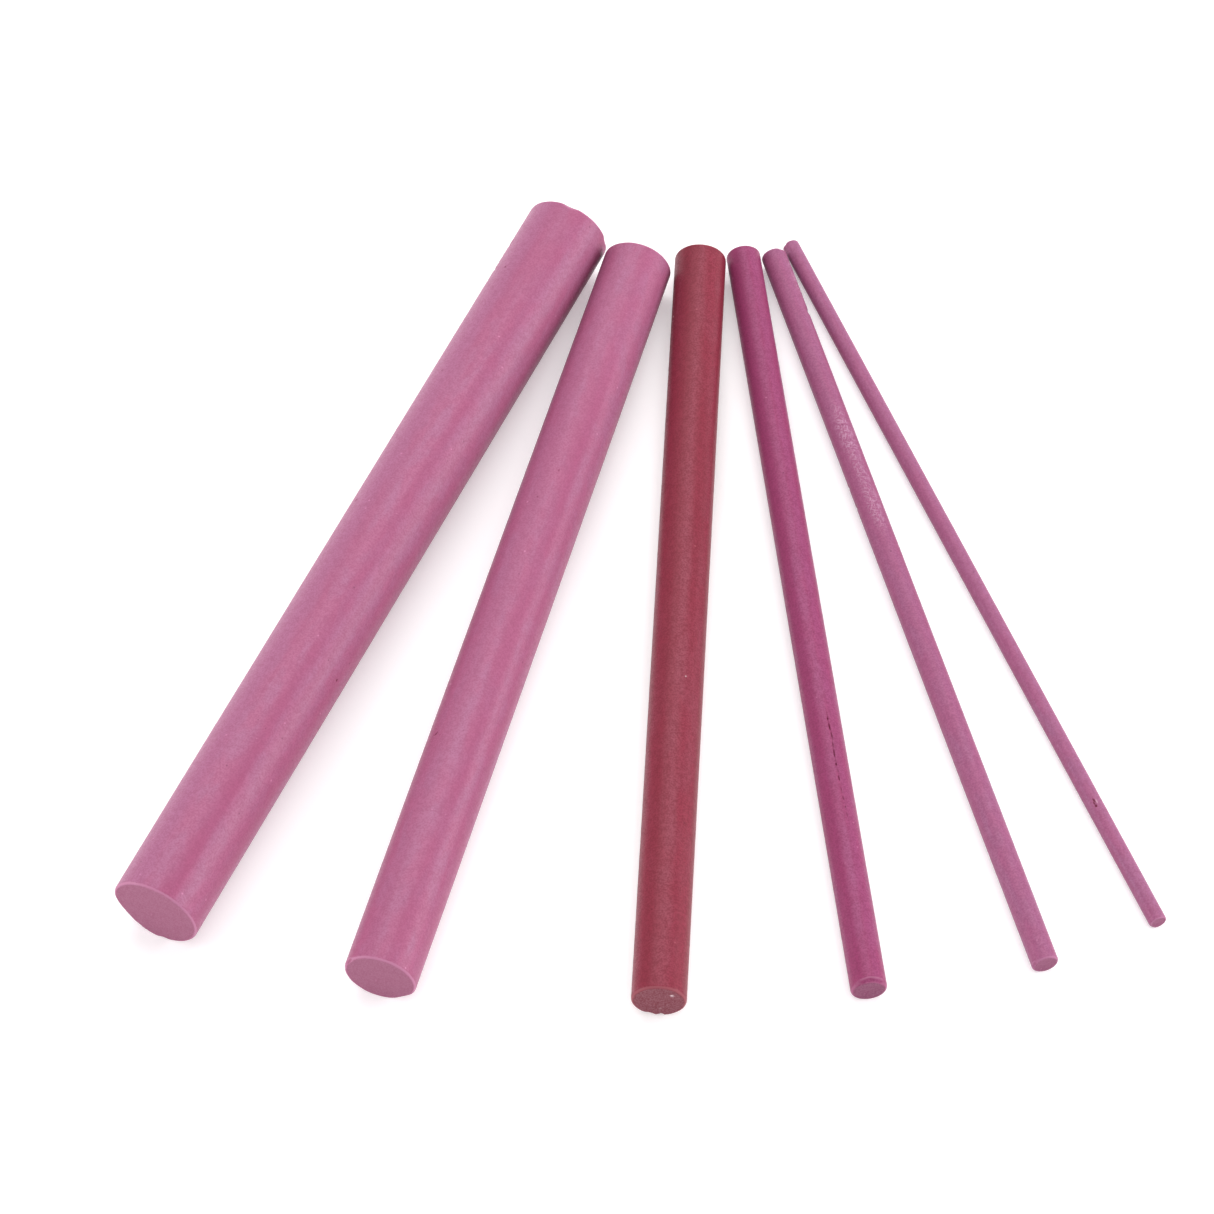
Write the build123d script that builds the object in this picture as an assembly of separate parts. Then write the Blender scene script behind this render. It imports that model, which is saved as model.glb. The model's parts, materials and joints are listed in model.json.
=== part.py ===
from build123d import *

# Six loose, solid, flat-ended round ceramic rods of graded diameter, lying in a fan on a flat surface.
# Sizes are millimetres and angles are degrees. +Z is up, and the surface is Z = 0. The fan is closed at
# its +Y end, where each rod lies beside the next, and open at its -Y end. The origin is on the surface,
# in the middle of the set's footprint.

import os
from dataclasses import dataclass
from math import cos, radians, sin


@dataclass
class Rod:
    """One round rod, placed by the axis point of its far (+Y) end face."""

    node: str
    diameter: float
    length: float
    edge_round: float  # radius that is worn on both end edges
    heading: float  # direction from near end to far end, from +Y towards +X
    far_end_y: float  # how far up the fan the far end lies
    gap: float  # clear distance to the rod on its left, seen from above

    @property
    def radius(self):
        return self.diameter / 2


# Driving dimensions, one rod after the other from left to right.
RODS = [
    Rod(
        node="rod_10mm",
        diameter=10.0,
        length=102.5,
        edge_round=0.25,
        heading=25.8,
        far_end_y=49.4,
        gap=0.0,
    ),
    Rod(
        node="rod_8mm",
        diameter=8.0,
        length=100.0,
        edge_round=0.25,
        heading=16.6,
        far_end_y=45.2,
        gap=0.1,
    ),
    Rod(
        node="rod_6mm",
        diameter=6.0,
        length=100.0,
        edge_round=0.2,
        heading=3.6,
        far_end_y=46.6,
        gap=0.2,
    ),
    Rod(
        node="rod_4mm",
        diameter=4.0,
        length=100.0,
        edge_round=0.2,
        heading=-6.4,
        far_end_y=47.9,
        gap=0.1,
    ),
    Rod(
        node="rod_3mm",
        diameter=3.0,
        length=100.0,
        edge_round=0.15,
        heading=-15.4,
        far_end_y=48.2,
        gap=0.1,
    ),
    Rod(
        node="rod_2mm",
        diameter=2.0,
        length=100.0,
        edge_round=0.15,
        heading=-21.7,
        far_end_y=50.1,
        gap=0.1,
    ),
]

# An end edge is never rounded by more than this share of the rod's radius.
MOST_ROUND = 0.4


def step_to_right(left, right):
    """X distance between the far ends of two neighbours that clear each other by the right one's gap."""
    between_axes = left.radius + right.radius + right.gap
    rise = right.far_end_y - left.far_end_y
    lean = radians(left.heading)
    step = (between_axes + rise * sin(lean)) / cos(lean)
    past_left_end = step * sin(lean) + rise * cos(lean) > 0
    if past_left_end:
        lean = radians(right.heading)
        step = (between_axes + rise * sin(lean)) / cos(lean)
    return step


def far_ends(rods):
    """X of each rod's far end, with the first rod's at 0."""
    places = [0.0]
    for left, right in zip(rods, rods[1:]):
        places.append(places[-1] + step_to_right(left, right))
    return places


def rod_solid(rod, far_end_x):
    """A solid round rod with softened end edges, lying on the surface."""
    bar = Cylinder(rod.radius, rod.length, align=(Align.CENTER, Align.CENTER, Align.MIN))
    end_edges = bar.edges().filter_by(GeomType.CIRCLE)
    bar = fillet(end_edges, min(rod.edge_round, MOST_ROUND * rod.radius))
    far_end = Pos(far_end_x, rod.far_end_y, rod.radius)
    # The bar stands with its first face on the origin: tip it over so that it runs back from its far end.
    return far_end * Rot(Z=-rod.heading) * Rot(X=90) * bar


def main():
    os.makedirs("parts", exist_ok=True)
    solids = [rod_solid(rod, x) for rod, x in zip(RODS, far_ends(RODS))]
    footprint = Compound(solids).bounding_box().center()
    for rod, solid in zip(RODS, solids):
        centred = Pos(-footprint.X, -footprint.Y, 0) * solid
        export_step(centred, f"parts/{rod.node}.step")


main()
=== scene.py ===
import json
import math
from dataclasses import dataclass, field

import bpy
import numpy as np
from bpy.props import FloatProperty, FloatVectorProperty, PointerProperty
from mathutils import Matrix, Vector, noise


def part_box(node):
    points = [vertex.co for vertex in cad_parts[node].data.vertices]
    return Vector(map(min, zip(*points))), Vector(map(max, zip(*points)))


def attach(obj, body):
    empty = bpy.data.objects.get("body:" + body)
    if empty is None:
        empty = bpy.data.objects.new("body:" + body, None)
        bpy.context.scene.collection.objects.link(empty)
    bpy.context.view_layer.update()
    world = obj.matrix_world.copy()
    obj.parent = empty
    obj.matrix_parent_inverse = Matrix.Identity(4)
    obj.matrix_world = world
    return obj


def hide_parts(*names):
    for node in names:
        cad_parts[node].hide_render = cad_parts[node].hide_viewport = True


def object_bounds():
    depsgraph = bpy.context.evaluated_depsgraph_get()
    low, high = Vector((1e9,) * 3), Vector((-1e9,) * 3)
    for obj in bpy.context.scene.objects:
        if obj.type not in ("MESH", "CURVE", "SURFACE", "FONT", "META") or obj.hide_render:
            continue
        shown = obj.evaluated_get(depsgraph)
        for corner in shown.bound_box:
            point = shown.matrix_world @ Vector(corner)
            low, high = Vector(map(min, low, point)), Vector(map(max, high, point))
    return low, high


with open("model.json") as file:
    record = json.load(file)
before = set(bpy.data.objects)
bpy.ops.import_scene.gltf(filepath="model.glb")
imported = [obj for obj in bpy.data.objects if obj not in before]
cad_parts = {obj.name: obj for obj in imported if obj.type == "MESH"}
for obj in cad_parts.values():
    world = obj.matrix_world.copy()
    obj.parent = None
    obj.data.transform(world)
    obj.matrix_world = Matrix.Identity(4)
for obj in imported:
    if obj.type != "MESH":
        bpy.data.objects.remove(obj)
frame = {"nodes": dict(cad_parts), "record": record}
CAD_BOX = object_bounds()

bl_info = {
    "name": "Graded Ceramic Rods",
    "version": (1, 0, 0),
    "blender": (4, 5, 0),
    "location": "3D View > Sidebar > Ceramic Rods",
    "description": "Builds a fan of six fired ceramic rods with worn rims, chips, pits and a crack",
    "category": "Add Mesh",
}

# Lengths are metres, but flaw and Dash are given millimetres. MM turns millimetres into metres.
MM = 0.001

# How the mesh of a rod is divided.
END_FACE_RINGS = 14
FACE_RING_CROWDING = 0.8  # below 1, the rings of an end face crowd towards its edge
RIM_RINGS = 7
RIM_BLEND_RINGS = 4
RIM_ZONE = 2.0  # how far along the rod a rim and its blend reach, as a multiple of the rim's depth
COARSE_STEP = 0.34 * MM  # between stations along a rod, and between points round it
STEP_GROWTH = 0.22  # how quickly the steps widen again away from a mark
STEPS_PER_MARK = 3.0
FINEST_STEP = 0.045 * MM

# The hairline crack. Its width is this half-width times the least share, and more where it is open. Where it
# is open it is darkened with painted shade.
CRACK_HALF_WIDTH = 0.09 * MM
CRACK_LEAST_SHARE = 0.75
CRACK_WIDTH_GAIN = 0.5
CRACK_DEPTH = 0.15 * MM
CRACK_PAINTED_SHADE = 0.9

# How steeply a flaw fades towards its outline. At 1 it fades all the way from its middle.
MARK_STEEPNESS = 1.6
RUB_STEEPNESS = 1.5
# The three below shape each lengthwise band of painted sheen and painted shade.
PAINTED_LIGHT_BAND_STEEPNESS = 1.5
PAINTED_LIGHT_BAND_LEAST_SHARE = 0.75  # how much of a band is left where it is weakest
PAINTED_LIGHT_BAND_GAIN = 0.5  # how much more there is where it is strongest

# How far each kind of unevenness reaches into the rod, and how large it is. None reaches outwards.
BEND_DEPTH = 0.016 * MM
BEND_SIZE = 14.0 * MM
RIPPLE_DEPTH = 0.012 * MM
RIPPLE_SIZE = 1.3 * MM
SAW_DEPTH = 0.03 * MM
SAW_SIZE = 0.55 * MM
RIM_NOISE_SIZE = 1.1 * MM
RIM_SHARE = 0.16  # the widest rim, as a share of the rod's radius
CHIP_SCOOP = 0.1  # how strongly a chip is hollowed below its straight chord
CHIP_RAGGED = 0.12  # how unevenly a chip's size fades towards its two sides
RIM_EDGE_WEAR = 0.2  # how rubbed the two sides of a rim are, next to its middle
RIM_LINE_FOCUS = 1.5  # above 1, the rubbed line keeps to the middle of a rim

# Each kind of unevenness has a seed of its own, set by what it adds to the rod's seed.
FAR_END_SEED = 1
CHIP_SEED = 3
BEND_SEED = 5
RIPPLE_SEED = 6
SAW_SEED = 7

# How strongly the layers of every finish cover, and their shade next to the colour they start from.
STREAK_STRENGTH = 0.6
GRAIN_SHADE = 0.72
DARK_SPECK_STRENGTH = 0.5
DARK_SPECK_SHADE = 0.45
PALE_SPECK_STRENGTH = 0.45
PALE_SPECK_SHADE = 1.35
CHALK_STRENGTH = 0.62

CHALK_COLOUR = (0.46, 0.25, 0.36)
PALE_GRAIN_COLOUR = (0.84, 0.66, 0.70)
# Painted shade in the hollows of the pits, dents and crack.
PAINTED_PIT_SHADE = (0.125, 0.010, 0.032)

# Inside the effects.
CLUMP_SIZE = 3.6  # size of the clumps of grain, in grains
CLUMP_SHARE = 0.26  # how much of the grain's tone the clumps set
MOTTLE_SHORTENING = 0.35  # below 1, a cloudy patch is drawn out along the rod
SPECK_SOFTNESS = 0.6
PALE_ABOVE = 0.72  # every speck has a number from 0 to 1 that says which kind it is
DARK_BELOW = 0.3
STROKE_SLANTS = (18.0, -66.0)  # degrees from the rod's length

BUMP_STRENGTH = 0.35
BUMP_HEIGHT = 0.02 * MM
ROUGHNESS_BETWEEN_GRAINS = 0.36
ROUGHNESS_ON_GRAINS = 0.46
CUT_FACE_ROUGHER = 0.25
SPECULAR_LEVEL = 0.15

# The soft boxes: azimuth from +X and elevation in degrees, width in metres, power in watts.
SOFT_BOXES = {
    "soft_box_back": (90, 56, 0.9, 4.05),
    "soft_box_right": (0, 20, 0.45, 4.0),
    "soft_box_front": (-90, 50, 0.45, 1.2),
    "soft_box_left": (180, 16, 0.45, 2.5),
}
SOFT_BOX_HEIGHT = 0.35
SOFT_BOX_DISTANCE = 0.8
EVEN_LIGHT = 0.6  # strength of the light from all round

FLOOR_REACH = 3.0  # metres from the middle to each side
FLOOR_GLOW = 0.3  # how strongly the floor shines of itself
PAPER_FIBRE = 0.8 * MM
PAPER_SHADE = 0.985  # how dark the fibres are next to the rest
PAPER_ROUGHNESS = 0.9

# The spacing of nodes on a material's sheet.
COLUMN_WIDTH = 210.0
ROW_HEIGHT = 200.0


# -------- sizes and colours a user would change


def colour_choice(name, description, default):
    return FloatVectorProperty(
        name=name, description=description, default=default, subtype="COLOR", size=3, min=0.0, max=1.0
    )


def length_choice(name, description, default):
    return FloatProperty(
        name=name, description=description, default=default, min=0.0, unit="LENGTH", precision=6
    )


FINISH_COLOURS = {
    "body": ("Body", "Main colour of the fired skin"),
    "patch": ("Patches", "Greyer colour of the cloudy patches"),
    "streak": ("Streak", "Deeper colour of the lengthwise streaks"),
    "face": ("Cut face", "Colour of the sawn end faces"),
    "worn": ("Worn rim", "Paler colour of the rubbed rims"),
}


def finish_colour(part, default):
    name, description = FINISH_COLOURS[part]
    return colour_choice(name, description, default)


def share_choice(name, description, default):
    return FloatProperty(
        name=name, description=description, default=default, min=0.0, max=1.0, subtype="FACTOR"
    )


def angle_choice(name, description, degrees):
    return FloatProperty(name=name, description=description, default=math.radians(degrees), subtype="ANGLE")


def grain_choice(default):
    return share_choice("Grain strength", "How strongly the mineral grain darkens the colour", default)


class FinishSizes:
    """The sizes that every fired finish has. The finishes below add their colours."""

    grain_size: length_choice("Grain", "Size of the mineral grain that shows", 0.20 * MM)
    patch_size: length_choice("Patches", "Size of the cloudy patches", 1.5 * MM)
    streak_width: length_choice("Streak width", "Width of the soft lengthwise streaks", 1.9 * MM)
    streak_length: length_choice("Streak length", "Length of the soft lengthwise streaks", 55.0 * MM)


class PinkFinish(FinishSizes, bpy.types.PropertyGroup):
    """The pink-mauve of the two thickest rods."""

    grain_strength: grain_choice(0.44)
    body: finish_colour("body", (0.380, 0.118, 0.217))
    patch: finish_colour("patch", (0.366, 0.135, 0.239))
    streak: finish_colour("streak", (0.333, 0.079, 0.166))
    face: finish_colour("face", (0.346, 0.128, 0.209))
    worn: finish_colour("worn", (0.470, 0.185, 0.303))


class BrickRedFinish(FinishSizes, bpy.types.PropertyGroup):
    """The brick red of the 6 mm rod."""

    grain_strength: grain_choice(0.7)
    body: finish_colour("body", (0.246, 0.034, 0.059))
    patch: finish_colour("patch", (0.250, 0.046, 0.073))
    streak: finish_colour("streak", (0.212, 0.024, 0.043))
    face: finish_colour("face", (0.253, 0.087, 0.112))
    worn: finish_colour("worn", (0.290, 0.074, 0.095))


class PlumFinish(FinishSizes, bpy.types.PropertyGroup):
    """The plum of the 4 mm rod."""

    grain_strength: grain_choice(0.6)
    body: finish_colour("body", (0.300, 0.056, 0.146))
    patch: finish_colour("patch", (0.303, 0.074, 0.174))
    streak: finish_colour("streak", (0.262, 0.039, 0.116))
    face: finish_colour("face", (0.265, 0.097, 0.166))
    worn: finish_colour("worn", (0.360, 0.112, 0.210))


class FinePinkFinish(FinishSizes, bpy.types.PropertyGroup):
    """The darker pink-mauve of the two thinnest rods."""

    grain_strength: grain_choice(0.58)
    body: finish_colour("body", (0.338, 0.102, 0.205))
    patch: finish_colour("patch", (0.320, 0.120, 0.225))
    streak: finish_colour("streak", (0.306, 0.079, 0.172))
    face: finish_colour("face", (0.294, 0.103, 0.180))
    worn: finish_colour("worn", (0.390, 0.148, 0.257))


class WearSettings(bpy.types.PropertyGroup):
    """How much the rods have been knocked and rubbed."""

    rim_round: length_choice("Rim", "Rounding that wear leaves on each end edge", 0.28 * MM)
    rim_unevenness: share_choice(
        "Rim unevenness", "How much the rounding varies along an edge, as a share of it", 0.35
    )


class StudioSettings(bpy.types.PropertyGroup):
    """Floor, lights and camera."""

    floor: colour_choice("Floor", "Colour of the floor", (0.84, 0.84, 0.84))
    sky: colour_choice("Sky", "Colour of the even light from all round", (1.0, 1.0, 1.0))
    lens: FloatProperty(name="Lens", description="Focal length in millimetres", default=158.3, min=1.0)
    distance: length_choice("Distance", "From the camera to the point that it looks at", 0.5984)
    elevation: angle_choice("Elevation", "Height of the camera above the horizon", 55.66)
    azimuth: angle_choice("Azimuth", "Turn of the camera round the set, from looking along +Y", -0.27)
    roll: angle_choice("Roll", "Tilt of the camera about its own view", -0.27)
    aim_right: FloatProperty(
        name="Aim right",
        description="Where the camera looks, to the right of the middle of the set",
        default=-3.36 * MM,
        unit="LENGTH",
    )
    aim_back: FloatProperty(
        name="Aim back",
        description="Where the camera looks, behind the middle of the set",
        default=0.55 * MM,
        unit="LENGTH",
    )


# -------- the rods as the frame gives them


@dataclass
class Rod:
    """Where a rod lies. Its own axes are X to the right, Y from near end to far end, and Z up."""

    node: str
    near_end: Vector
    direction: Vector
    length: float
    radius: float

    @property
    def placement(self):
        """The turn and shift that bring the rod's own axes to where it lies."""
        right = Vector((self.direction.y, -self.direction.x, 0.0))
        turn = Matrix((right, self.direction, Vector((0.0, 0.0, 1.0)))).transposed()
        return Matrix.Translation(self.near_end) @ turn.to_4x4()


def rod_in_frame(node):
    """Reads a rod's place and size from the frame."""
    mount = next(one for one in frame["record"]["mounts"] if one["name"] == node + "_near_end")
    near_end = Vector(mount["pos_m"])
    direction = -Vector(mount["axis"]).normalized()
    low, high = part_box(node)
    reach = [(point.co - near_end).dot(direction) for point in frame["nodes"][node].data.vertices]
    return Rod(node, near_end, direction, max(reach), (high.z - low.z) / 2)


# -------- damage


@dataclass
class Mark:
    """A small flaw in a rod's skin: a pit, a dent or a stray pale grain. Sizes are half-widths."""

    along: float  # from the near end
    around: float  # degrees from straight up, to the right
    length: float  # half-length along the flaw
    width: float  # half-width across it
    depth: float = 0.0
    turn: float = 0.0  # degrees from the rod's length
    # painted shade in the hollow that the mark cuts
    dark: float = 0.0
    pale: float = 0.0


def flaw(along, around, length, width, depth=0.0, **looks):
    """A mark whose lengths are given in millimetres."""
    return Mark(along * MM, around, length * MM, width * MM, depth * MM, **looks)


@dataclass
class Chip:
    """A flake that has broken off an end edge."""

    around: float  # degrees from straight up, to the right
    spread: float  # degrees either side
    size: float  # how much wider than the worn rim


@dataclass
class Dash:
    """One open stretch of a hairline crack, which is a chain of them along the rod."""

    start: float  # millimetres from the near end
    end: float
    start_around: float  # degrees from straight up, to the right
    end_around: float
    # the crack's darkness is painted shade in its open gap
    openness: float  # 1 where the crack is at its widest and darkest


@dataclass
class Rub:
    """A patch of chalky rub marks."""

    along: float
    around: float
    length: float  # half-length
    spread: float  # degrees either side
    strength: float


@dataclass
class PaintedLightBand:
    """A band of painted sheen and painted shade that runs the whole length of a rod, at a set angle round
    from straight up.
    """

    around: float  # degrees from straight up, to the right
    spread: float  # degrees either side
    # deep sets the painted shade, and the field below it the painted sheen.
    deep: float = 0.0  # how far the colour goes towards the streak's
    painted_sheen: float = 0.0  # how far it goes towards the patches'


@dataclass
class Damage:
    """Everything that sets one rod's skin apart. The seed sets its own unevenness."""

    seed: int
    painted_light_bands: list = field(default_factory=list)
    marks: list = field(default_factory=list)
    near_chips: list = field(default_factory=list)
    far_chips: list = field(default_factory=list)
    face_marks: list = field(default_factory=list)
    rubs: list = field(default_factory=list)


def smooth(share):
    """0 below 0, 1 above 1, and an even S between."""
    share = np.clip(share, 0.0, 1.0)
    return share * share * (3.0 - 2.0 * share)


def fading(away, steepness):
    """1 in the middle of a flaw, falling to 0 at its outline, where away is 1."""
    return smooth(steepness * (1.0 - away))


def turn_between(angles, middle):
    """Signed angle from middle to each angle, the short way round."""
    return (angles - middle + math.pi) % (2.0 * math.pi) - math.pi


def away_round(angles, part):
    """How far round the rod each angle is from the middle of a chip, rub or band, in spreads."""
    return np.abs(turn_between(angles, math.radians(part.around))) / math.radians(part.spread)


def noise_at(points, size, seed):
    """Smooth noise of about -1 to 1 at an array of points."""
    shift = Vector((seed * 17.3, seed * 5.1, seed * 9.7))
    flat = points.reshape(-1, 3) / size
    values = [noise.noise(Vector(point) + shift) for point in flat.tolist()]
    return np.array(values).reshape(points.shape[:-1])


def unevenness_at(points, size, seed):
    """The same, of about 0 to 1."""
    return 0.5 + 0.5 * noise_at(points, size, seed)


# -------- mesh of a rod


def graded_places(start, stop, spots):
    """Places from start to stop, closer together round each spot (its middle, reach and step)."""
    places = [start]
    while places[-1] < stop:
        step = COARSE_STEP
        for middle, reach, fine in spots:
            away = max(0.0, abs(places[-1] - middle) - reach)
            step = min(step, fine + away * STEP_GROWTH)
        places.append(places[-1] + step)
    places = np.array(places)
    return start + (places - start) * (stop - start) / (places[-1] - start)


def fine_step(half_width):
    return max(FINEST_STEP, half_width / STEPS_PER_MARK)


def spots_along(damage):
    """Where along the rod the mesh has to be fine: the middle, reach and step of each mark."""
    spots = []
    for mark in damage.marks:
        spots.append((mark.along, mark.length, fine_step(min(mark.length, 2.0 * mark.width))))
    return spots


def spots_around(rod, damage):
    """The same for places round the rod, measured as arc from straight up."""
    spots = []
    for mark in damage.marks:
        reach = max(mark.length * abs(math.sin(math.radians(mark.turn))), mark.width)
        middle = math.radians(mark.around) * rod.radius
        spots.append((middle, reach, fine_step(min(mark.length, mark.width))))
    return spots


def rim_widths(rod, wear, chips, angles, seed):
    """Width of the broken edge at each angle, and how far it is a chip rather than a worn round."""
    circle = np.stack([np.sin(angles), np.full_like(angles, seed), np.cos(angles)], -1) * rod.radius
    round_off = min(wear.rim_round, RIM_SHARE * rod.radius)
    width = round_off * (1.0 + wear.rim_unevenness * unevenness_at(circle, RIM_NOISE_SIZE, seed))
    chipped = np.zeros_like(angles)
    for chip in chips:
        near = 1.0 - away_round(angles, chip)
        grit = noise_at(circle, RIM_NOISE_SIZE / 2, seed + CHIP_SEED)
        share = smooth(near + CHIP_RAGGED * grit * near.clip(0.0, 1.0))
        width = width + chip.size * share
        chipped = np.maximum(chipped, share)
    return width, chipped


def end_rings(rod, wear, chips, angles, seed):
    """Rings from the middle of an end face out over its edge: depth, radius and share of worn rim."""
    width, chipped = rim_widths(rod, wear, chips, angles, seed)
    depth, radius, worn = [], [], []
    for ring in range(1, END_FACE_RINGS + 1):
        depth.append(np.zeros_like(angles))
        radius.append((rod.radius - width) * (ring / END_FACE_RINGS) ** FACE_RING_CROWDING)
        worn.append(np.full_like(angles, 0.0 if ring < END_FACE_RINGS else RIM_EDGE_WEAR))
    for ring in range(1, RIM_RINGS + 1):
        share = ring / RIM_RINGS
        bow = share * math.pi / 2
        scoop = CHIP_SCOOP * math.sin(share * math.pi)
        round_depth, round_rise = 1.0 - math.cos(bow), math.sin(bow)
        chip_depth, chip_rise = share + scoop * (1.0 - share), share - scoop * share
        depth.append(width * (round_depth + chipped * (chip_depth - round_depth)))
        radius.append(rod.radius - width * (1.0 - round_rise - chipped * (chip_rise - round_rise)))
        # A worn rim is rubbed most along its middle, and a chip along its two sides.
        rubbed_line = RIM_EDGE_WEAR + (1.0 - RIM_EDGE_WEAR) * math.sin(share * math.pi) ** RIM_LINE_FOCUS
        chip_edges = math.cos(share * math.pi) ** 2
        worn.append(rubbed_line + chipped * (chip_edges - rubbed_line))
    return np.array(depth), np.array(radius), np.array(worn)


def joined_rings(rod, wear, damage, angles):
    """Every ring of the rod from near face to far face: place along it, radius and share of worn rim."""
    near = end_rings(rod, wear, damage.near_chips, angles, damage.seed)
    far = end_rings(rod, wear, damage.far_chips, angles, damage.seed + FAR_END_SEED)
    zone = RIM_ZONE * max(near[0].max(), far[0].max())
    stations = graded_places(zone, rod.length - zone, spots_along(damage))
    blends = [(ring + 1) / (RIM_BLEND_RINGS + 1) for ring in range(RIM_BLEND_RINGS)]
    along = [*near[0]] + [near[0][-1] + (zone - near[0][-1]) * blend for blend in blends]
    along += [np.full_like(angles, station) for station in stations]
    far_along = [*far[0]] + [far[0][-1] + (zone - far[0][-1]) * blend for blend in blends]
    along += [rod.length - place for place in reversed(far_along)]
    plain = np.full_like(angles, rod.radius)
    middle = [plain] * (len(blends) * 2 + len(stations))
    radius = [*near[1], *middle, *reversed(far[1])]
    none = np.zeros_like(angles)
    fade = [none + RIM_EDGE_WEAR * (1.0 - blend) for blend in blends]
    worn = [*near[2], *fade, *[none] * len(stations), *reversed(fade), *reversed(far[2])]
    return np.array(along), np.array(radius), np.array(worn)


def mark_share(rod, mark, along, angles):
    """1 in the middle of a mark, falling to 0 at its edge."""
    reach_along = along - mark.along
    reach_round = turn_between(angles, math.radians(mark.around)) * rod.radius
    turn = math.radians(mark.turn)
    down = (reach_along * math.cos(turn) + reach_round * math.sin(turn)) / mark.length
    across = (reach_round * math.cos(turn) - reach_along * math.sin(turn)) / mark.width
    return fading(np.hypot(down, across), MARK_STEEPNESS)


def crack_marks(dashes, radius):
    """The dashes of a crack as long narrow marks."""
    marks = []
    for dash in dashes:
        start, end = dash.start * MM, dash.end * MM
        run = end - start
        drift = math.radians(dash.end_around - dash.start_around) * radius
        marks.append(
            Mark(
                along=(start + end) / 2,
                around=(dash.start_around + dash.end_around) / 2,
                length=math.hypot(run, drift) / 2 + CRACK_HALF_WIDTH,
                width=CRACK_HALF_WIDTH * (CRACK_LEAST_SHARE + CRACK_WIDTH_GAIN * dash.openness),
                depth=CRACK_DEPTH * dash.openness,
                turn=math.degrees(math.atan2(drift, run)),
                dark=CRACK_PAINTED_SHADE * dash.openness,
            )
        )
    return marks


def add_up(marks, shares, shape):
    """How deep each point is, how dark its painted shade is, and how pale, from the share that each mark has
    in it.
    """
    depth, dark, pale = (np.zeros(shape) for _ in range(3))
    for mark, share in zip(marks, shares):
        depth += mark.depth * share
        dark = np.maximum(dark, mark.dark * share)
        pale = np.maximum(pale, mark.pale * share)
    return depth, dark, pale


def skin_damage(rod, damage, along, angles):
    """How deep the marks go in the round skin, how dark their painted shade is, and how pale they look."""
    shares = (mark_share(rod, mark, along, angles) for mark in damage.marks)
    return add_up(damage.marks, shares, along.shape)


def rubbed_shares(rubs, along, angles):
    """How far each point of the round skin is rubbed with chalk."""
    rubbed = np.zeros(along.shape)
    for rub in rubs:
        down = np.abs(along - rub.along) / rub.length
        share = fading(np.hypot(down, away_round(angles, rub)), RUB_STEEPNESS)
        rubbed = np.maximum(rubbed, rub.strength * share)
    return rubbed


def painted_light_band_shares(painted_light_bands, angles, unevenness):
    """How much painted shade and painted sheen each band gives each point. An unevenness of 0 to 1 lets them
    fade and return.
    """
    deep, painted_sheen = np.zeros_like(unevenness), np.zeros_like(unevenness)
    for band in painted_light_bands:
        share = fading(away_round(angles, band), PAINTED_LIGHT_BAND_STEEPNESS) * (PAINTED_LIGHT_BAND_LEAST_SHARE + PAINTED_LIGHT_BAND_GAIN * unevenness)
        deep = np.maximum(deep, band.deep * share)
        painted_sheen = np.maximum(painted_sheen, band.painted_sheen * share)
    return np.clip(deep, 0.0, 1.0), np.clip(painted_sheen, 0.0, 1.0)


def face_damage(rod, damage, points):
    """The same for the near face, where a mark's along is its distance from the middle."""
    shares = []
    for mark in damage.face_marks:
        turn = math.radians(mark.around)
        across, up = mark.along * math.sin(turn), mark.along * math.cos(turn)
        away = np.hypot(points[..., 0] - across, points[..., 2] - up)
        shares.append(fading(away / mark.width, MARK_STEEPNESS) * (points[..., 1] < rod.length / 2))
    return add_up(damage.face_marks, shares, points.shape[:-1])


def on_circle(along, radius, angles):
    """Points in the rod's own axes from places along it, distances from its axis and angles."""
    return np.stack([radius * np.sin(angles), along, radius * np.cos(angles)], -1)


def rod_points(rod, wear, damage):
    """Points of the rod, ring by ring, with the values that its finish reads at each point."""
    arcs = graded_places(-math.pi * rod.radius, math.pi * rod.radius, spots_around(rod, damage))
    angles = arcs[:-1] / rod.radius
    along, radius, worn = joined_rings(rod, wear, damage, angles)
    angles = np.broadcast_to(angles, along.shape)
    points = on_circle(along, radius, angles)
    on_face = np.zeros(along.shape)
    on_face[:END_FACE_RINGS] = 1.0
    on_face[-END_FACE_RINGS:] = 1.0
    depth, dark, pale = skin_damage(rod, damage, along, angles)
    rubbed = rubbed_shares(damage.rubs, along, angles)
    bend = unevenness_at(points, BEND_SIZE, damage.seed + BEND_SEED)
    ripple = RIPPLE_DEPTH * unevenness_at(points, RIPPLE_SIZE, damage.seed + RIPPLE_SEED)
    radius = radius - (depth + BEND_DEPTH * bend + ripple) * (1.0 - on_face)
    # Painted shade and painted sheen along each lengthwise band, at set angles round from straight up.
    deep, painted_sheen = painted_light_band_shares(damage.painted_light_bands, angles, bend)
    saw = SAW_DEPTH * unevenness_at(points, SAW_SIZE, damage.seed + SAW_SEED)
    face_depth, face_dark, face_pale = face_damage(rod, damage, points)
    inwards = np.where(along < rod.length / 2, 1.0, -1.0)
    along = along + inwards * (saw + face_depth) * on_face
    values = {
        "worn": worn,
        # dark is painted shade in the hollows of the marks.
        "dark": np.where(on_face > 0.5, face_dark, dark),
        "pale": np.where(on_face > 0.5, face_pale, pale),
        "rubbed": rubbed * (1.0 - on_face),
        "cut_face": on_face,
        "painted_shade_band": deep,
        "painted_sheen_band": painted_sheen,
    }
    return on_circle(along, radius, angles), values


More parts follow.
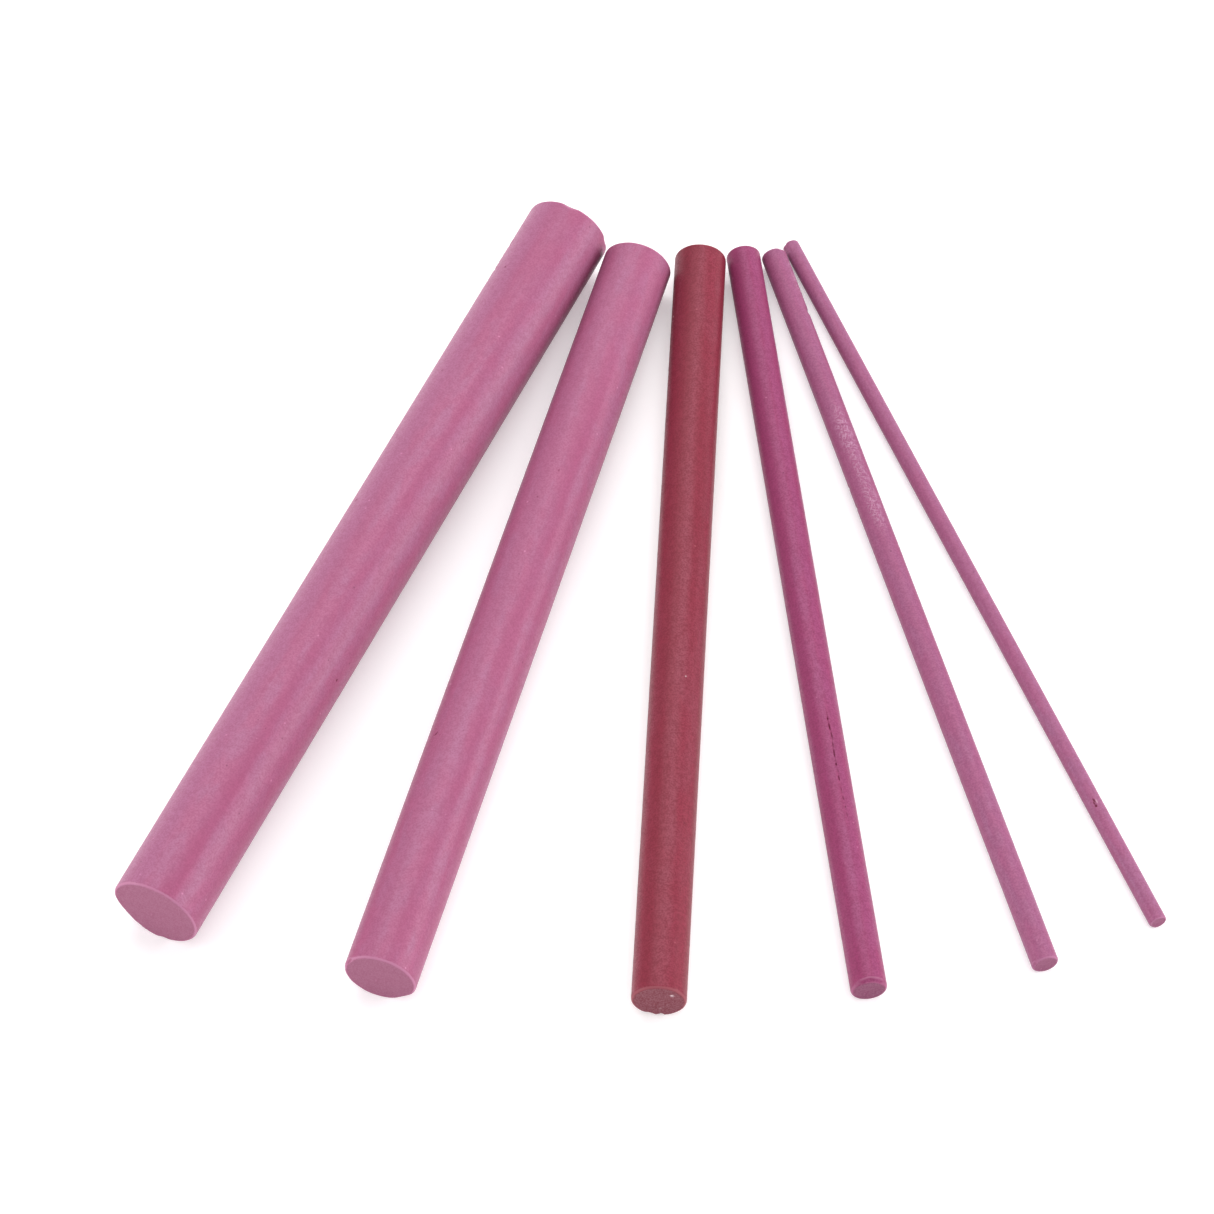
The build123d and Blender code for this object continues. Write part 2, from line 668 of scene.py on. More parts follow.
def ring_faces(rings, columns):
    """Quads between each ring and the next, and a fan of triangles to the middle of each end face."""
    faces = []
    for ring in range(rings - 1):
        here, there = ring * columns, (ring + 1) * columns
        for column in range(columns):
            beside = (column + 1) % columns
            faces.append((here + column, here + beside, there + beside, there + column))
    near_middle, far_middle = rings * columns, rings * columns + 1
    last = (rings - 1) * columns
    for column in range(columns):
        beside = (column + 1) % columns
        faces.append((near_middle, beside, column))
        faces.append((far_middle, last + column, last + beside))
    return faces


def rod_mesh(rod, wear, damage):
    """The rod's worn mesh where it lies. Its points keep their place on the rod as rod_place."""
    points, values = rod_points(rod, wear, damage)
    rings, columns = points.shape[:2]
    middles = np.stack([points[0].mean(0), points[-1].mean(0)])
    mesh = bpy.data.meshes.new(rod.node + "_worn")
    corners = np.concatenate([points.reshape(-1, 3), middles])
    mesh.from_pydata(corners.tolist(), [], ring_faces(rings, columns))
    for name, value in values.items():
        layer = mesh.attributes.new(name, "FLOAT", "POINT")
        middle = 1.0 if name == "cut_face" else 0.0
        layer.data.foreach_set("value", np.append(value.ravel(), [middle, middle]).astype(np.float32))
    place = mesh.attributes.new("rod_place", "FLOAT_VECTOR", "POINT")
    place.data.foreach_set("vector", corners.astype(np.float32).ravel())
    mesh.transform(rod.placement)
    mesh.shade_smooth()
    mesh.validate()
    return mesh


# -------- shared effects


def add_node(tree, kind, column, row, **settings):
    """A node at a place on the sheet, with its own settings."""
    node = tree.nodes.new(kind)
    node.location = (column * COLUMN_WIDTH, -row * ROW_HEIGHT)
    for name, value in settings.items():
        setattr(node, name, value)
    return node


def wire(tree, value, socket):
    """Gives a socket what it reads, which is another socket or a plain value."""
    if isinstance(value, bpy.types.NodeSocket):
        tree.links.new(value, socket)
    else:
        socket.default_value = value


def maths(tree, operation, column, row, first, second, clamp=False):
    """A Math node fed by sockets or plain numbers. Returns its output."""
    node = add_node(tree, "ShaderNodeMath", column, row, operation=operation, use_clamp=clamp)
    wire(tree, first, node.inputs[0])
    wire(tree, second, node.inputs[1])
    return node.outputs[0]


def ramp(tree, column, row, value, low, high):
    """0 where value is below low, 1 above high, and smooth between."""
    node = add_node(tree, "ShaderNodeMapRange", column, row, interpolation_type="SMOOTHSTEP")
    wire(tree, value, node.inputs["Value"])
    wire(tree, low, node.inputs["From Min"])
    wire(tree, high, node.inputs["From Max"])
    return node.outputs["Result"]


def effect_group(name, inputs, outputs):
    """An empty shader node group. It is given the place and some numbers, and puts out more numbers."""
    tree = bpy.data.node_groups.new(name, "ShaderNodeTree")
    tree.interface.new_socket("Place", in_out="INPUT", socket_type="NodeSocketVector")
    for label, default in inputs.items():
        socket = tree.interface.new_socket(label, in_out="INPUT", socket_type="NodeSocketFloat")
        socket.default_value = default
    for label in outputs:
        tree.interface.new_socket(label, in_out="OUTPUT", socket_type="NodeSocketFloat")
    return tree, add_node(tree, "NodeGroupInput", 0, 0), add_node(tree, "NodeGroupOutput", 8, 0)


def noise_node(tree, column, row, place, size, detail=2.0):
    """Noise whose lumps are about one size across. The size may be a socket."""
    node = add_node(tree, "ShaderNodeTexNoise", column, row)
    wire(tree, place, node.inputs["Vector"])
    wire(tree, maths(tree, "DIVIDE", column - 1, row + 1, 1.0, size), node.inputs["Scale"])
    node.inputs["Detail"].default_value = detail
    return node.outputs["Fac"]


def drawn_noise(tree, column, row, place, sizes, detail):
    """Noise whose lumps have a size of their own along each axis. The sizes are sockets."""
    scale = add_node(tree, "ShaderNodeCombineXYZ", column + 1, row)
    for step, (axis, size) in enumerate(zip("XYZ", sizes)):
        wire(tree, maths(tree, "DIVIDE", column, row + step, 1.0, size), scale.inputs[axis])
    stretch = add_node(tree, "ShaderNodeVectorMath", column + 2, row, operation="MULTIPLY")
    wire(tree, place, stretch.inputs[0])
    wire(tree, scale.outputs[0], stretch.inputs[1])
    cloud = add_node(tree, "ShaderNodeTexNoise", column + 3, row)
    wire(tree, stretch.outputs[0], cloud.inputs["Vector"])
    cloud.inputs["Scale"].default_value = 1.0
    cloud.inputs["Detail"].default_value = detail
    return cloud.outputs["Fac"]


def fired_grain_group():
    """Fine mineral grain: an uneven tone, and the height of its tiny lumps."""
    tree, given, made = effect_group("Fired grain", {"Grain Size": 0.20 * MM}, ["Tone", "Height"])
    place, size = given.outputs["Place"], given.outputs["Grain Size"]
    grit = noise_node(tree, 2, 0, place, size, detail=3.0)
    clump = noise_node(tree, 2, 2, place, maths(tree, "MULTIPLY", 1, 4, size, CLUMP_SIZE))
    grit_part = maths(tree, "MULTIPLY", 3, 0, grit, 1.0 - CLUMP_SHARE)
    clump_part = maths(tree, "MULTIPLY", 3, 1, clump, CLUMP_SHARE)
    wire(tree, maths(tree, "ADD", 4, 0, grit_part, clump_part), made.inputs["Tone"])
    wire(tree, grit, made.inputs["Height"])
    return tree


def drawn_streak_group():
    """Soft streaks that run along the rod, as a mask."""
    sizes = {"Width": 1.9 * MM, "Length": 55.0 * MM}
    tree, given, made = effect_group("Drawn streaks", sizes, ["Streak"])
    width, length = given.outputs["Width"], given.outputs["Length"]
    cloud = drawn_noise(tree, 1, 0, given.outputs["Place"], (width, length, width), detail=1.5)
    wire(tree, ramp(tree, 6, 0, cloud, low=0.36, high=0.66), made.inputs["Streak"])
    return tree


def kiln_mottle_group():
    """Cloudy patches a few grains across, as a mask."""
    tree, given, made = effect_group("Kiln mottle", {"Patch Size": 1.5 * MM}, ["Patch"])
    drawn = add_node(tree, "ShaderNodeVectorMath", 1, 0, operation="MULTIPLY")
    wire(tree, given.outputs["Place"], drawn.inputs[0])
    drawn.inputs[1].default_value = (1.0, MOTTLE_SHORTENING, 1.0)
    cloud = noise_node(tree, 2, 0, drawn.outputs[0], given.outputs["Patch Size"], detail=3.0)
    wire(tree, ramp(tree, 4, 0, cloud, low=0.38, high=0.64), made.inputs["Patch"])
    return tree


def broken_mask_group():
    """Breaks a smooth mask up into grit, as a rub or a worn edge leaves it."""
    tree, given, made = effect_group("Broken mask", {"Mask": 0.0, "Grit Size": 0.3 * MM}, ["Mask"])
    mask = given.outputs["Mask"]
    grit = noise_node(tree, 2, 0, given.outputs["Place"], given.outputs["Grit Size"], detail=3.0)
    lifted = maths(tree, "ADD", 4, 0, mask, maths(tree, "SUBTRACT", 3, 0, grit, 0.5))
    broken = ramp(tree, 5, 0, lifted, low=0.25, high=0.75)
    wire(tree, maths(tree, "MULTIPLY", 6, 0, broken, mask), made.inputs["Mask"])
    return tree


def stray_speck_group():
    """Scattered single grains, some pale and some dark, as two masks."""
    sizes = {"Spacing": 1.6 * MM, "Speck Size": 0.16 * MM}
    tree, given, made = effect_group("Stray specks", sizes, ["Pale", "Dark"])
    cells = add_node(tree, "ShaderNodeTexVoronoi", 2, 0)
    wire(tree, given.outputs["Place"], cells.inputs["Vector"])
    wire(tree, maths(tree, "DIVIDE", 1, 1, 1.0, given.outputs["Spacing"]), cells.inputs["Scale"])
    share = maths(tree, "DIVIDE", 1, 2, given.outputs["Speck Size"], given.outputs["Spacing"])
    away = maths(tree, "DIVIDE", 3, 0, cells.outputs["Distance"], share)
    inside = maths(tree, "SUBTRACT", 4, 0, 1.0, away, clamp=True)
    spot = ramp(tree, 5, 0, inside, low=0.0, high=SPECK_SOFTNESS)
    pick = add_node(tree, "ShaderNodeSeparateColor", 3, 2)
    wire(tree, cells.outputs["Color"], pick.inputs["Color"])
    is_pale = maths(tree, "GREATER_THAN", 5, 2, pick.outputs["Red"], PALE_ABOVE)
    is_dark = maths(tree, "LESS_THAN", 5, 3, pick.outputs["Red"], DARK_BELOW)
    wire(tree, maths(tree, "MULTIPLY", 7, 0, spot, is_pale), made.inputs["Pale"])
    wire(tree, maths(tree, "MULTIPLY", 7, 1, spot, is_dark), made.inputs["Dark"])
    return tree


def chalk_rub_group():
    """Crossing chalky strokes, as another rod leaves when it is dragged over this one."""
    sizes = {"Mask": 0.0, "Stroke Width": 0.17 * MM, "Stroke Length": 0.5 * MM}
    tree, given, made = effect_group("Chalk rub", sizes, ["Chalk"])
    width, length = given.outputs["Stroke Width"], given.outputs["Stroke Length"]
    strokes = []
    for row, slant in zip((0, 3), STROKE_SLANTS):
        turned = add_node(tree, "ShaderNodeVectorRotate", 1, row, rotation_type="Z_AXIS")
        wire(tree, given.outputs["Place"], turned.inputs["Vector"])
        turned.inputs["Angle"].default_value = math.radians(slant)
        cloud = drawn_noise(tree, 2, row, turned.outputs[0], (width, length, length), detail=2.0)
        strokes.append(ramp(tree, 6, row, cloud, low=0.51, high=0.64))
    crossed = maths(tree, "MAXIMUM", 7, 0, *strokes)
    chalk = maths(tree, "MULTIPLY", 7, 1, crossed, given.outputs["Mask"])
    wire(tree, chalk, made.inputs["Chalk"])
    return tree


EFFECTS = {
    "Fired grain": fired_grain_group,
    "Drawn streaks": drawn_streak_group,
    "Kiln mottle": kiln_mottle_group,
    "Broken mask": broken_mask_group,
    "Stray specks": stray_speck_group,
    "Chalk rub": chalk_rub_group,
}


def effect(tree, name, column, row, **values):
    """Places a shared effect. A value's name is its socket's, with underscores for spaces."""
    node = add_node(tree, "ShaderNodeGroup", column, row)
    node.node_tree = bpy.data.node_groups.get(name) or EFFECTS[name]()
    for label, value in values.items():
        wire(tree, value, node.inputs[label.replace("_", " ")])
    return node


# -------- materials


def mix_colour(tree, column, row, share, under, over):
    """Lays one colour over another by a share. Either may be a socket or a plain colour."""
    node = add_node(tree, "ShaderNodeMix", column, row, data_type="RGBA")
    under_socket, over_socket = (socket for socket in node.inputs if socket.type == "RGBA")
    wire(tree, share, node.inputs["Factor"])
    wire(tree, under, under_socket)
    wire(tree, over, over_socket)
    return next(socket for socket in node.outputs if socket.type == "RGBA")


def point_value(tree, row, name):
    """A value that the mesh keeps at each of its points."""
    return add_node(tree, "ShaderNodeAttribute", 0, row, attribute_name=name).outputs["Fac"]


def tinted(colour, share):
    """A colour made lighter (above 1) or darker (below 1)."""
    return tuple(min(1.0, part * share) for part in colour)


def solid(colour):
    return (*colour, 1.0)


def ceramic_material(name, finish):
    """Matte fired ceramic: grain, lengthwise streaks, painted sheen and painted shade in lengthwise stripes,
    sawn ends, worn rims, pits darkened with painted shade, and chalky rubs.
    """
    material = bpy.data.materials.new(name)
    material.use_nodes = True
    tree = material.node_tree
    tree.nodes.clear()
    place = add_node(tree, "ShaderNodeAttribute", 0, 0, attribute_name="rod_place").outputs["Vector"]
    cut_face = point_value(tree, 1, "cut_face")
    grain = effect(tree, "Fired grain", 2, 0, Place=place, Grain_Size=finish.grain_size)
    mottle = effect(tree, "Kiln mottle", 2, 1, Place=place, Patch_Size=finish.patch_size)
    streaks = effect(
        tree, "Drawn streaks", 2, 2, Place=place, Width=finish.streak_width, Length=finish.streak_length
    )
    specks = effect(tree, "Stray specks", 2, 3, Place=place)
    rim = effect(tree, "Broken mask", 2, 4, Place=place, Mask=point_value(tree, 2, "worn"))
    chalk = effect(tree, "Chalk rub", 2, 5, Place=place, Mask=point_value(tree, 3, "rubbed"))
    grain_share = ramp(tree, 3, 0, grain.outputs["Tone"], low=0.36, high=0.64)

    # Each layer covers the ones before it: where it lies, how strongly it covers, and its colour.
    layers = [
        (mottle.outputs["Patch"], 1.0, finish.patch),
        (streaks.outputs["Streak"], STREAK_STRENGTH, finish.streak),
        # Painted sheen and painted shade in lengthwise stripes at set angles round the rod.
        (point_value(tree, 4, "painted_sheen_band"), 1.0, finish.patch),
        (point_value(tree, 5, "painted_shade_band"), 1.0, finish.streak),
        (cut_face, 1.0, finish.face),
        (grain_share, finish.grain_strength, tinted(finish.streak, GRAIN_SHADE)),
        (specks.outputs["Dark"], DARK_SPECK_STRENGTH, tinted(finish.streak, DARK_SPECK_SHADE)),
        (specks.outputs["Pale"], PALE_SPECK_STRENGTH, tinted(finish.worn, PALE_SPECK_SHADE)),
        (rim.outputs["Mask"], 1.0, finish.worn),
        (chalk.outputs["Chalk"], CHALK_STRENGTH, CHALK_COLOUR),
        (point_value(tree, 6, "pale"), 1.0, PALE_GRAIN_COLOUR),
        # Painted shade in the hollows of pits, dents and the crack.
        (point_value(tree, 7, "dark"), 1.0, PAINTED_PIT_SHADE),
    ]
    colour = solid(finish.body)
    for column, (share, strength, layer) in enumerate(layers, 4):
        if strength < 1.0:
            share = maths(tree, "MULTIPLY", column, 1, share, strength)
        colour = mix_colour(tree, column, 0, share, colour, solid(layer))

    bump = add_node(tree, "ShaderNodeBump", 15, 2)
    wire(tree, BUMP_STRENGTH, bump.inputs["Strength"])
    wire(tree, BUMP_HEIGHT, bump.inputs["Distance"])
    height = maths(tree, "SUBTRACT", 14, 2, grain.outputs["Height"], specks.outputs["Dark"])
    wire(tree, height, bump.inputs["Height"])

    roughness = add_node(tree, "ShaderNodeMapRange", 14, 3)
    wire(tree, grain_share, roughness.inputs["Value"])
    wire(tree, ROUGHNESS_BETWEEN_GRAINS, roughness.inputs["To Min"])
    wire(tree, ROUGHNESS_ON_GRAINS, roughness.inputs["To Max"])
    rougher = maths(tree, "MULTIPLY", 14, 4, cut_face, CUT_FACE_ROUGHER)
    dullness = maths(tree, "ADD", 15, 3, roughness.outputs["Result"], rougher, clamp=True)

    shader = add_node(tree, "ShaderNodeBsdfPrincipled", 17, 0)
    wire(tree, colour, shader.inputs["Base Color"])
    wire(tree, dullness, shader.inputs["Roughness"])
    wire(tree, bump.outputs["Normal"], shader.inputs["Normal"])
    shader.inputs["Specular IOR Level"].default_value = SPECULAR_LEVEL
    output = add_node(tree, "ShaderNodeOutputMaterial", 19, 0)
    wire(tree, shader.outputs["BSDF"], output.inputs["Surface"])
    return material


# -------- operators


def build_rod(context, node, slot, finish, damage):
    """Makes one rod's worn mesh and finish, and stands it for the plain solid in the frame."""
    rod = rod_in_frame(node)
    piece = bpy.data.objects.new(node + "_piece", rod_mesh(rod, context.scene.rod_wear, damage))
    context.scene.collection.objects.link(piece)
    name = slot + "_finish"
    material = bpy.data.materials.get(name) or ceramic_material(name, finish)
    piece.data.materials.append(material)
    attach(piece, node)
    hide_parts(node)
    return {"FINISHED"}


DAMAGE_10MM = Damage(
    seed=11,
    painted_light_bands=[
        PaintedLightBand(-40, 34, painted_sheen=1.0),
        PaintedLightBand(23, 10, deep=0.42),
        PaintedLightBand(42, 14, painted_sheen=0.35),
        PaintedLightBand(80, 16, deep=0.45),
    ],
    marks=[
        flaw(55.5, -50, 0.28, 0.15, depth=0.08, turn=25, dark=0.6),
        flaw(91.7, -35, 0.22, 0.18, depth=0.07, dark=0.6),
        flaw(33.9, 70, 0.24, 0.2, depth=0.08, dark=0.75),
        flaw(90.7, -74, 0.35, 1.3, depth=0.14),
        flaw(92.5, -73, 0.5, 1.8, depth=0.24, turn=4),
        flaw(93.6, -74, 0.28, 1.3, depth=0.14, turn=7),
        flaw(94.5, -75, 0.4, 1.3, depth=0.17, turn=-5),
        flaw(96.3, -73, 0.5, 1.9, depth=0.26, turn=-6),
        flaw(97.6, -74, 0.32, 1.2, depth=0.12),
        # A faint pale line along the left flank near the far end: painted sheen.
        flaw(94.0, -62, 3.2, 0.16, pale=0.14),
        flaw(78.0, 104, 0.6, 0.5, depth=0.1),
    ],
    near_chips=[Chip(-128, 52, 0.42 * MM), Chip(172, 9, 0.1 * MM)],
    far_chips=[Chip(5, 15, 0.13 * MM), Chip(80, 12, 0.1 * MM)],
)


class RODS_OT_rod_10mm(bpy.types.Operator):
    """Build the thickest rod, with a flattened lower rim, a notched far rim and a few small pits"""

    bl_idname = "ceramic_rods.rod_10mm"
    bl_label = "10 mm Rod"

    def execute(self, context):
        return build_rod(context, "rod_10mm", "pink_ceramic", context.scene.rod_pink, DAMAGE_10MM)


DAMAGE_8MM = Damage(
    seed=23,
    painted_light_bands=[
        PaintedLightBand(-50, 20, deep=0.38),
        PaintedLightBand(-16, 20, painted_sheen=0.35),
        PaintedLightBand(22, 20, deep=0.28),
        PaintedLightBand(56, 22, deep=0.15),
    ],
    marks=[
        flaw(29.5, -44, 0.42, 0.17, depth=0.13, turn=38, dark=0.95),
        flaw(29.2, -34, 0.14, 0.12, depth=0.03, dark=0.35),
        flaw(66.3, 5, 0.2, 0.12, depth=0.04, dark=0.5),
        flaw(62.2, -14, 0.18, 0.12, depth=0.04, dark=0.45),
    ],
    near_chips=[Chip(140, 26, 0.08 * MM), Chip(-62, 16, 0.08 * MM)],
)


class RODS_OT_rod_8mm(bpy.types.Operator):
    """Build the 8 mm rod, with one clear pit on its left flank"""

    bl_idname = "ceramic_rods.rod_8mm"
    bl_label = "8 mm Rod"

    def execute(self, context):
        return build_rod(context, "rod_8mm", "pink_ceramic", context.scene.rod_pink, DAMAGE_8MM)


DAMAGE_6MM = Damage(
    seed=37,
    painted_light_bands=[
        PaintedLightBand(-68, 10, painted_sheen=1.0),
        PaintedLightBand(-26, 27, deep=0.62),
        PaintedLightBand(3, 8, painted_sheen=0.45),
        PaintedLightBand(70, 18, deep=1.0),
    ],
    marks=[
        flaw(90.5, -67, 0.16, 0.14, depth=0.03, pale=0.55),
        flaw(39.7, 20, 0.15, 0.14, depth=0.03, pale=0.35),
    ],
    near_chips=[Chip(176, 7, 0.3 * MM), Chip(-160, 16, 0.1 * MM)],
    face_marks=[
        flaw(1.92, 46, 0.2, 0.21, depth=0.03, pale=0.95),
        flaw(1.4, 172, 0.15, 0.16, pale=0.3),
    ],
)


class RODS_OT_rod_6mm(bpy.types.Operator):
    """Build the brick red rod, with a chip in its lower rim and a bright grain in its end face"""

    bl_idname = "ceramic_rods.rod_6mm"
    bl_label = "6 mm Rod"

    def execute(self, context):
        return build_rod(context, "rod_6mm", "brick_red_ceramic", context.scene.rod_brick_red, DAMAGE_6MM)


CRACK = [
    Dash(33.4, 34.6, 9.5, 9.5, 0.3),
    Dash(33.3, 33.7, 9.5, 9.5, 0.85),
    Dash(31.9, 33.0, 12.0, 10.0, 1.0),
    Dash(32.9, 33.4, 10.0, 9.5, 0.3),
    Dash(30.9, 31.9, 14.0, 12.5, 0.75),
    Dash(30.5, 31.0, 12.5, 14.0, 0.3),
    Dash(27.7, 28.4, 12.0, 11.5, 0.35),
    Dash(29.6, 30.6, 11.5, 12.5, 0.6),
    Dash(28.3, 29.6, 11.5, 11.5, 0.9),
    Dash(27.4, 27.7, 12.0, 12.0, 1.0),
    Dash(26.4, 26.9, 14.5, 13.5, 0.45),
    Dash(25.3, 26.1, 14.0, 12.5, 0.75),
    Dash(23.6, 24.6, 15.0, 14.0, 0.4),
    Dash(22.9, 23.4, 16.5, 15.0, 0.6),
    Dash(21.9, 22.1, 18.0, 18.0, 0.6),
    Dash(20.4, 21.4, 22.0, 16.5, 0.4),
]
DAMAGE_4MM = Damage(
    seed=41,
    painted_light_bands=[PaintedLightBand(-40, 32, deep=0.8), PaintedLightBand(0, 10, painted_sheen=0.25), PaintedLightBand(27, 16, painted_sheen=0.5)],
    marks=crack_marks(CRACK, rod_in_frame("rod_4mm").radius),
    near_chips=[Chip(8, 85, 0.2 * MM)],
)


class RODS_OT_rod_4mm(bpy.types.Operator):
    """Build the plum rod, with its long hairline crack and the flat flake on its upper rim"""

    bl_idname = "ceramic_rods.rod_4mm"
    bl_label = "4 mm Rod"

    def execute(self, context):
        return build_rod(context, "rod_4mm", "plum_ceramic", context.scene.rod_plum, DAMAGE_4MM)


DAMAGE_3MM = Damage(
    seed=53,
    painted_light_bands=[PaintedLightBand(-58, 24, deep=0.45), PaintedLightBand(-10, 18, deep=0.2), PaintedLightBand(24, 16, painted_sheen=0.5)],
    marks=[
        flaw(90.6, 79, 0.6, 0.9, depth=0.16),
        flaw(65.8, -99, 0.35, 0.7, depth=0.12, dark=0.5),
        flaw(62.9, -99, 0.35, 0.7, depth=0.12, dark=0.5),
    ],
    near_chips=[Chip(-70, 40, 0.1 * MM)],
    far_chips=[Chip(40, 30, 0.06 * MM)],
    rubs=[
        Rub(71.8 * MM, 6, 6.2 * MM, 52, 1.0),
        Rub(66.5 * MM, 10, 3.6 * MM, 44, 0.85),
        Rub(61.8 * MM, 8, 5.2 * MM, 46, 0.95),
        Rub(95.0 * MM, 64, 4.6 * MM, 34, 1.0),
    ],
)


class RODS_OT_rod_3mm(bpy.types.Operator):
    """Build the 3 mm rod, with the chalky rub marks on its upper side"""

    bl_idname = "ceramic_rods.rod_3mm"
    bl_label = "3 mm Rod"

    def execute(self, context):
        return build_rod(context, "rod_3mm", "pink_ceramic_fine", context.scene.rod_fine_pink, DAMAGE_3MM)


DAMAGE_2MM = Damage(
    seed=67,
    painted_light_bands=[PaintedLightBand(-68, 18, deep=0.5), PaintedLightBand(26, 22, painted_sheen=0.8)],
    marks=[
        flaw(16.2, -7, 0.4, 0.15, depth=0.08, turn=-12, dark=0.9),
        flaw(15.9, -15, 0.3, 0.14, depth=0.07, dark=0.85),
        flaw(15.5, -12, 0.22, 0.19, depth=0.09, dark=1.0),
        flaw(16.0, 6, 0.4, 0.15, pale=0.2),
    ],
    near_chips=[Chip(-110, 60, 0.1 * MM)],
    far_chips=[Chip(-60, 35, 0.06 * MM)],
)


class RODS_OT_rod_2mm(bpy.types.Operator):
    """Build the thinnest rod, with a pair of small dents near its near end"""

    bl_idname = "ceramic_rods.rod_2mm"
    bl_label = "2 mm Rod"

    def execute(self, context):
        return build_rod(context, "rod_2mm", "pink_ceramic_fine", context.scene.rod_fine_pink, DAMAGE_2MM)


def floor_material(studio):
    """Plain pale paper, with a very faint unevenness."""
    material = bpy.data.materials.new("studio_paper")
    material.use_nodes = True
    tree = material.node_tree
    shader = tree.nodes["Principled BSDF"]
    place = add_node(tree, "ShaderNodeTexCoord", -6, 0).outputs["Object"]
    fibre = noise_node(tree, -4, 0, place, PAPER_FIBRE)
    shade = mix_colour(tree, -2, 0, fibre, solid(studio.floor), solid(tinted(studio.floor, PAPER_SHADE)))
    wire(tree, shade, shader.inputs["Base Color"])
    shader.inputs["Roughness"].default_value = PAPER_ROUGHNESS
    shader.inputs["Emission Color"].default_value = solid((1.0, 1.0, 1.0))
    shader.inputs["Emission Strength"].default_value = FLOOR_GLOW
    return material


def lay_floor(scene, studio):
    """A plain floor at the height of the surface that the rods lie on."""
    height = CAD_BOX[0].z
    turns = ((-1, -1), (1, -1), (1, 1), (-1, 1))
    corners = [(x * FLOOR_REACH, y * FLOOR_REACH, height) for x, y in turns]
    mesh = bpy.data.meshes.new("studio_floor")
    mesh.from_pydata(corners, [], [(0, 1, 2, 3)])
    mesh.materials.append(floor_material(studio))
    floor = bpy.data.objects.new("studio_floor", mesh)
    scene.collection.objects.link(floor)


def light_evenly(scene, colour):
    """Light of one colour from all round."""
    world = bpy.data.worlds.new("even_light")
    world.use_nodes = True
    even = world.node_tree.nodes["Background"]
    even.inputs["Color"].default_value = solid(colour)
    even.inputs["Strength"].default_value = EVEN_LIGHT
    scene.world = world


def soft_box(name, aim, azimuth, elevation, width, power):
    """A rectangular studio light that faces a point, from a direction in which azimuth 0 is +X."""
    level = math.cos(elevation)
    away = Vector((math.cos(azimuth) * level, math.sin(azimuth) * level, math.sin(elevation)))
    light = bpy.data.lights.new(name, "AREA")
    light.shape = "RECTANGLE"
    light.size = width
    light.size_y = SOFT_BOX_HEIGHT
    light.energy = power
    lamp = bpy.data.objects.new(name, light)
    lamp.location = aim + away * SOFT_BOX_DISTANCE
    lamp.rotation_euler = away.to_track_quat("Z", "Y").to_euler()
    bpy.context.scene.collection.objects.link(lamp)


def camera_placement(studio, aim):
    """Where the camera stands and how it is turned, looking at a point."""
    azimuth, elevation = studio.azimuth, studio.elevation
    level = math.cos(elevation)
    back = Vector((math.sin(azimuth) * level, -math.cos(azimuth) * level, math.sin(elevation)))
    right = Vector((math.cos(azimuth), math.sin(azimuth), 0.0))
    up = back.cross(right)
    rolled_right = right * math.cos(studio.roll) + up * math.sin(studio.roll)
    rolled_up = up * math.cos(studio.roll) - right * math.sin(studio.roll)
    turn = Matrix((rolled_right, rolled_up, back)).transposed().to_4x4()
    return Matrix.Translation(aim + back * studio.distance) @ turn


def set_camera(scene, studio, aim):
    """The camera, with everything in focus."""
    camera = bpy.data.objects.new("studio_camera", bpy.data.cameras.new("studio_camera"))
    camera.data.lens = studio.lens
    camera.data.dof.use_dof = False
    camera.matrix_world = camera_placement(studio, aim)
    scene.collection.objects.link(camera)
    scene.camera = camera


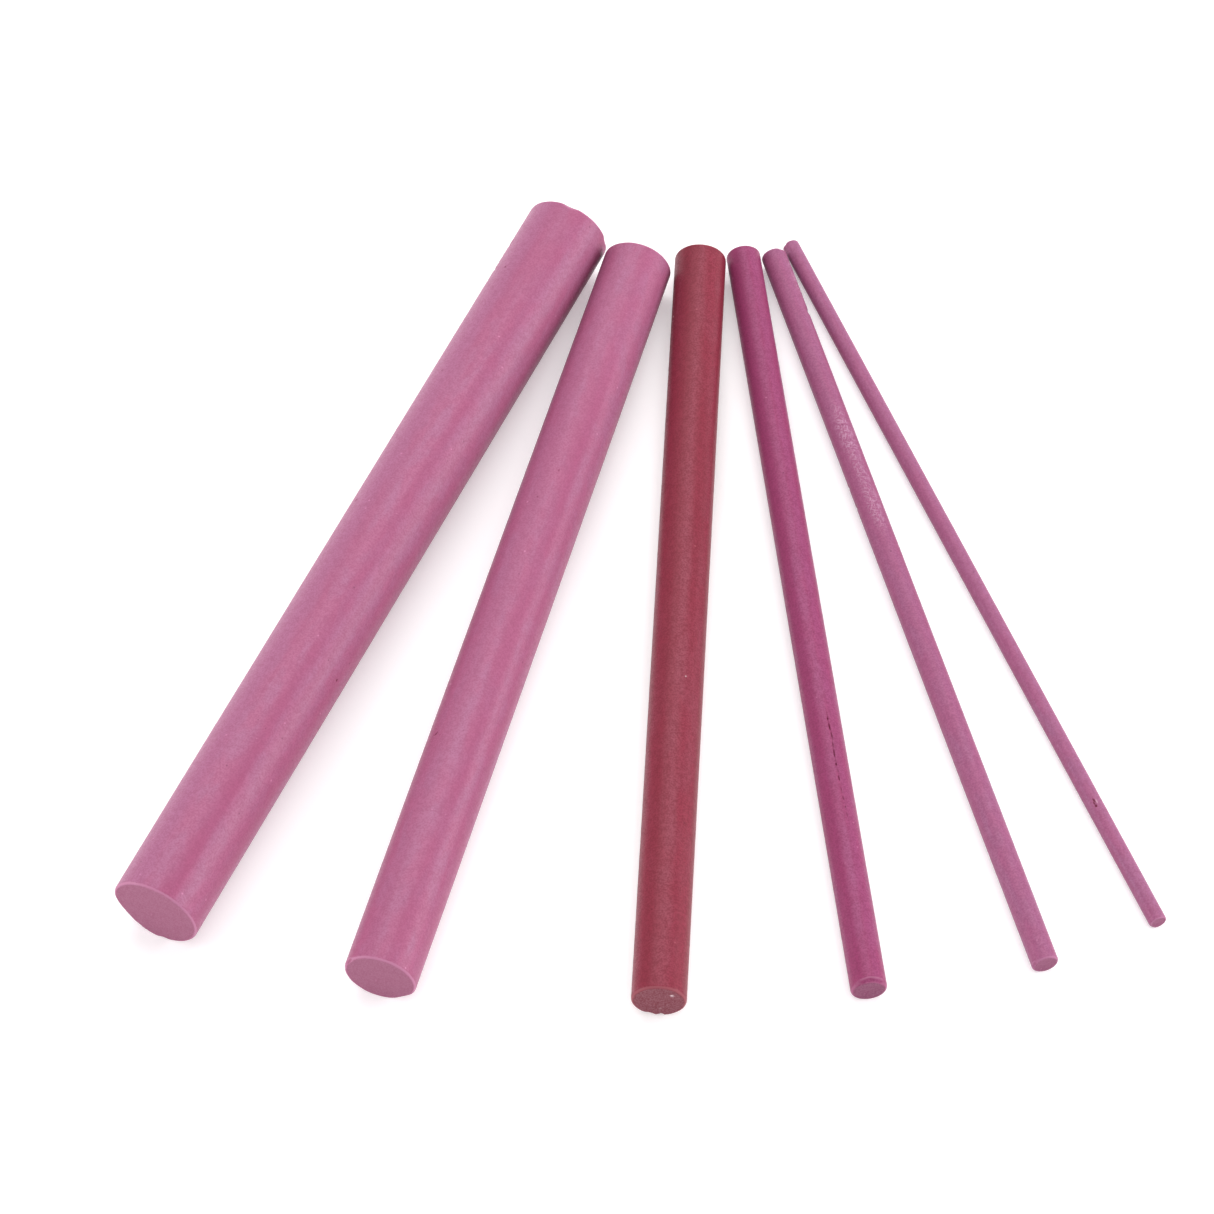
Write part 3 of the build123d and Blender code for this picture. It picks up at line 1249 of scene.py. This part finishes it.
class RODS_OT_studio(bpy.types.Operator):
    """Lay out the pale floor, the soft lights and the camera"""

    bl_idname = "ceramic_rods.studio"
    bl_label = "Studio"

    def execute(self, context):
        scene, studio = context.scene, context.scene.rod_studio
        middle = (CAD_BOX[0] + CAD_BOX[1]) / 2
        aim = Vector((middle.x + studio.aim_right, middle.y + studio.aim_back, CAD_BOX[0].z))
        lay_floor(scene, studio)
        for name, (azimuth, elevation, width, power) in SOFT_BOXES.items():
            soft_box(name, aim, math.radians(azimuth), math.radians(elevation), width, power)
        light_evenly(scene, studio.sky)
        set_camera(scene, studio, aim)
        scene.view_settings.view_transform = "Standard"
        return {"FINISHED"}


class RODS_PT_panel(bpy.types.Panel):
    """Buttons and settings for the rods"""

    bl_idname = "RODS_PT_panel"
    bl_label = "Ceramic Rods"
    bl_space_type = "VIEW_3D"
    bl_region_type = "UI"
    bl_category = "Ceramic Rods"

    def draw(self, context):
        for operator in ROD_OPERATORS:
            self.layout.operator(operator.bl_idname)
        self.layout.operator(RODS_OT_studio.bl_idname)
        for name, group in SETTINGS.items():
            box = self.layout.box()
            box.label(text=group.__doc__)
            settings = getattr(context.scene, name)
            for prop in settings.bl_rna.properties:
                if prop.identifier not in ("rna_type", "name"):
                    box.prop(settings, prop.identifier)


SETTINGS = {
    "rod_pink": PinkFinish,
    "rod_brick_red": BrickRedFinish,
    "rod_plum": PlumFinish,
    "rod_fine_pink": FinePinkFinish,
    "rod_wear": WearSettings,
    "rod_studio": StudioSettings,
}
ROD_OPERATORS = (
    RODS_OT_rod_10mm,
    RODS_OT_rod_8mm,
    RODS_OT_rod_6mm,
    RODS_OT_rod_4mm,
    RODS_OT_rod_3mm,
    RODS_OT_rod_2mm,
)
CLASSES = (*SETTINGS.values(), *ROD_OPERATORS, RODS_OT_studio, RODS_PT_panel)


def register():
    for made in CLASSES:
        bpy.utils.register_class(made)
    for name, group in SETTINGS.items():
        setattr(bpy.types.Scene, name, PointerProperty(type=group))


def unregister():
    for name in SETTINGS:
        delattr(bpy.types.Scene, name)
    for made in reversed(CLASSES):
        bpy.utils.unregister_class(made)


def main():
    register()
    for operator in (*ROD_OPERATORS, RODS_OT_studio):
        group, name = operator.bl_idname.split(".")
        getattr(getattr(bpy.ops, group), name)()


if __name__ == "__main__":
    main()
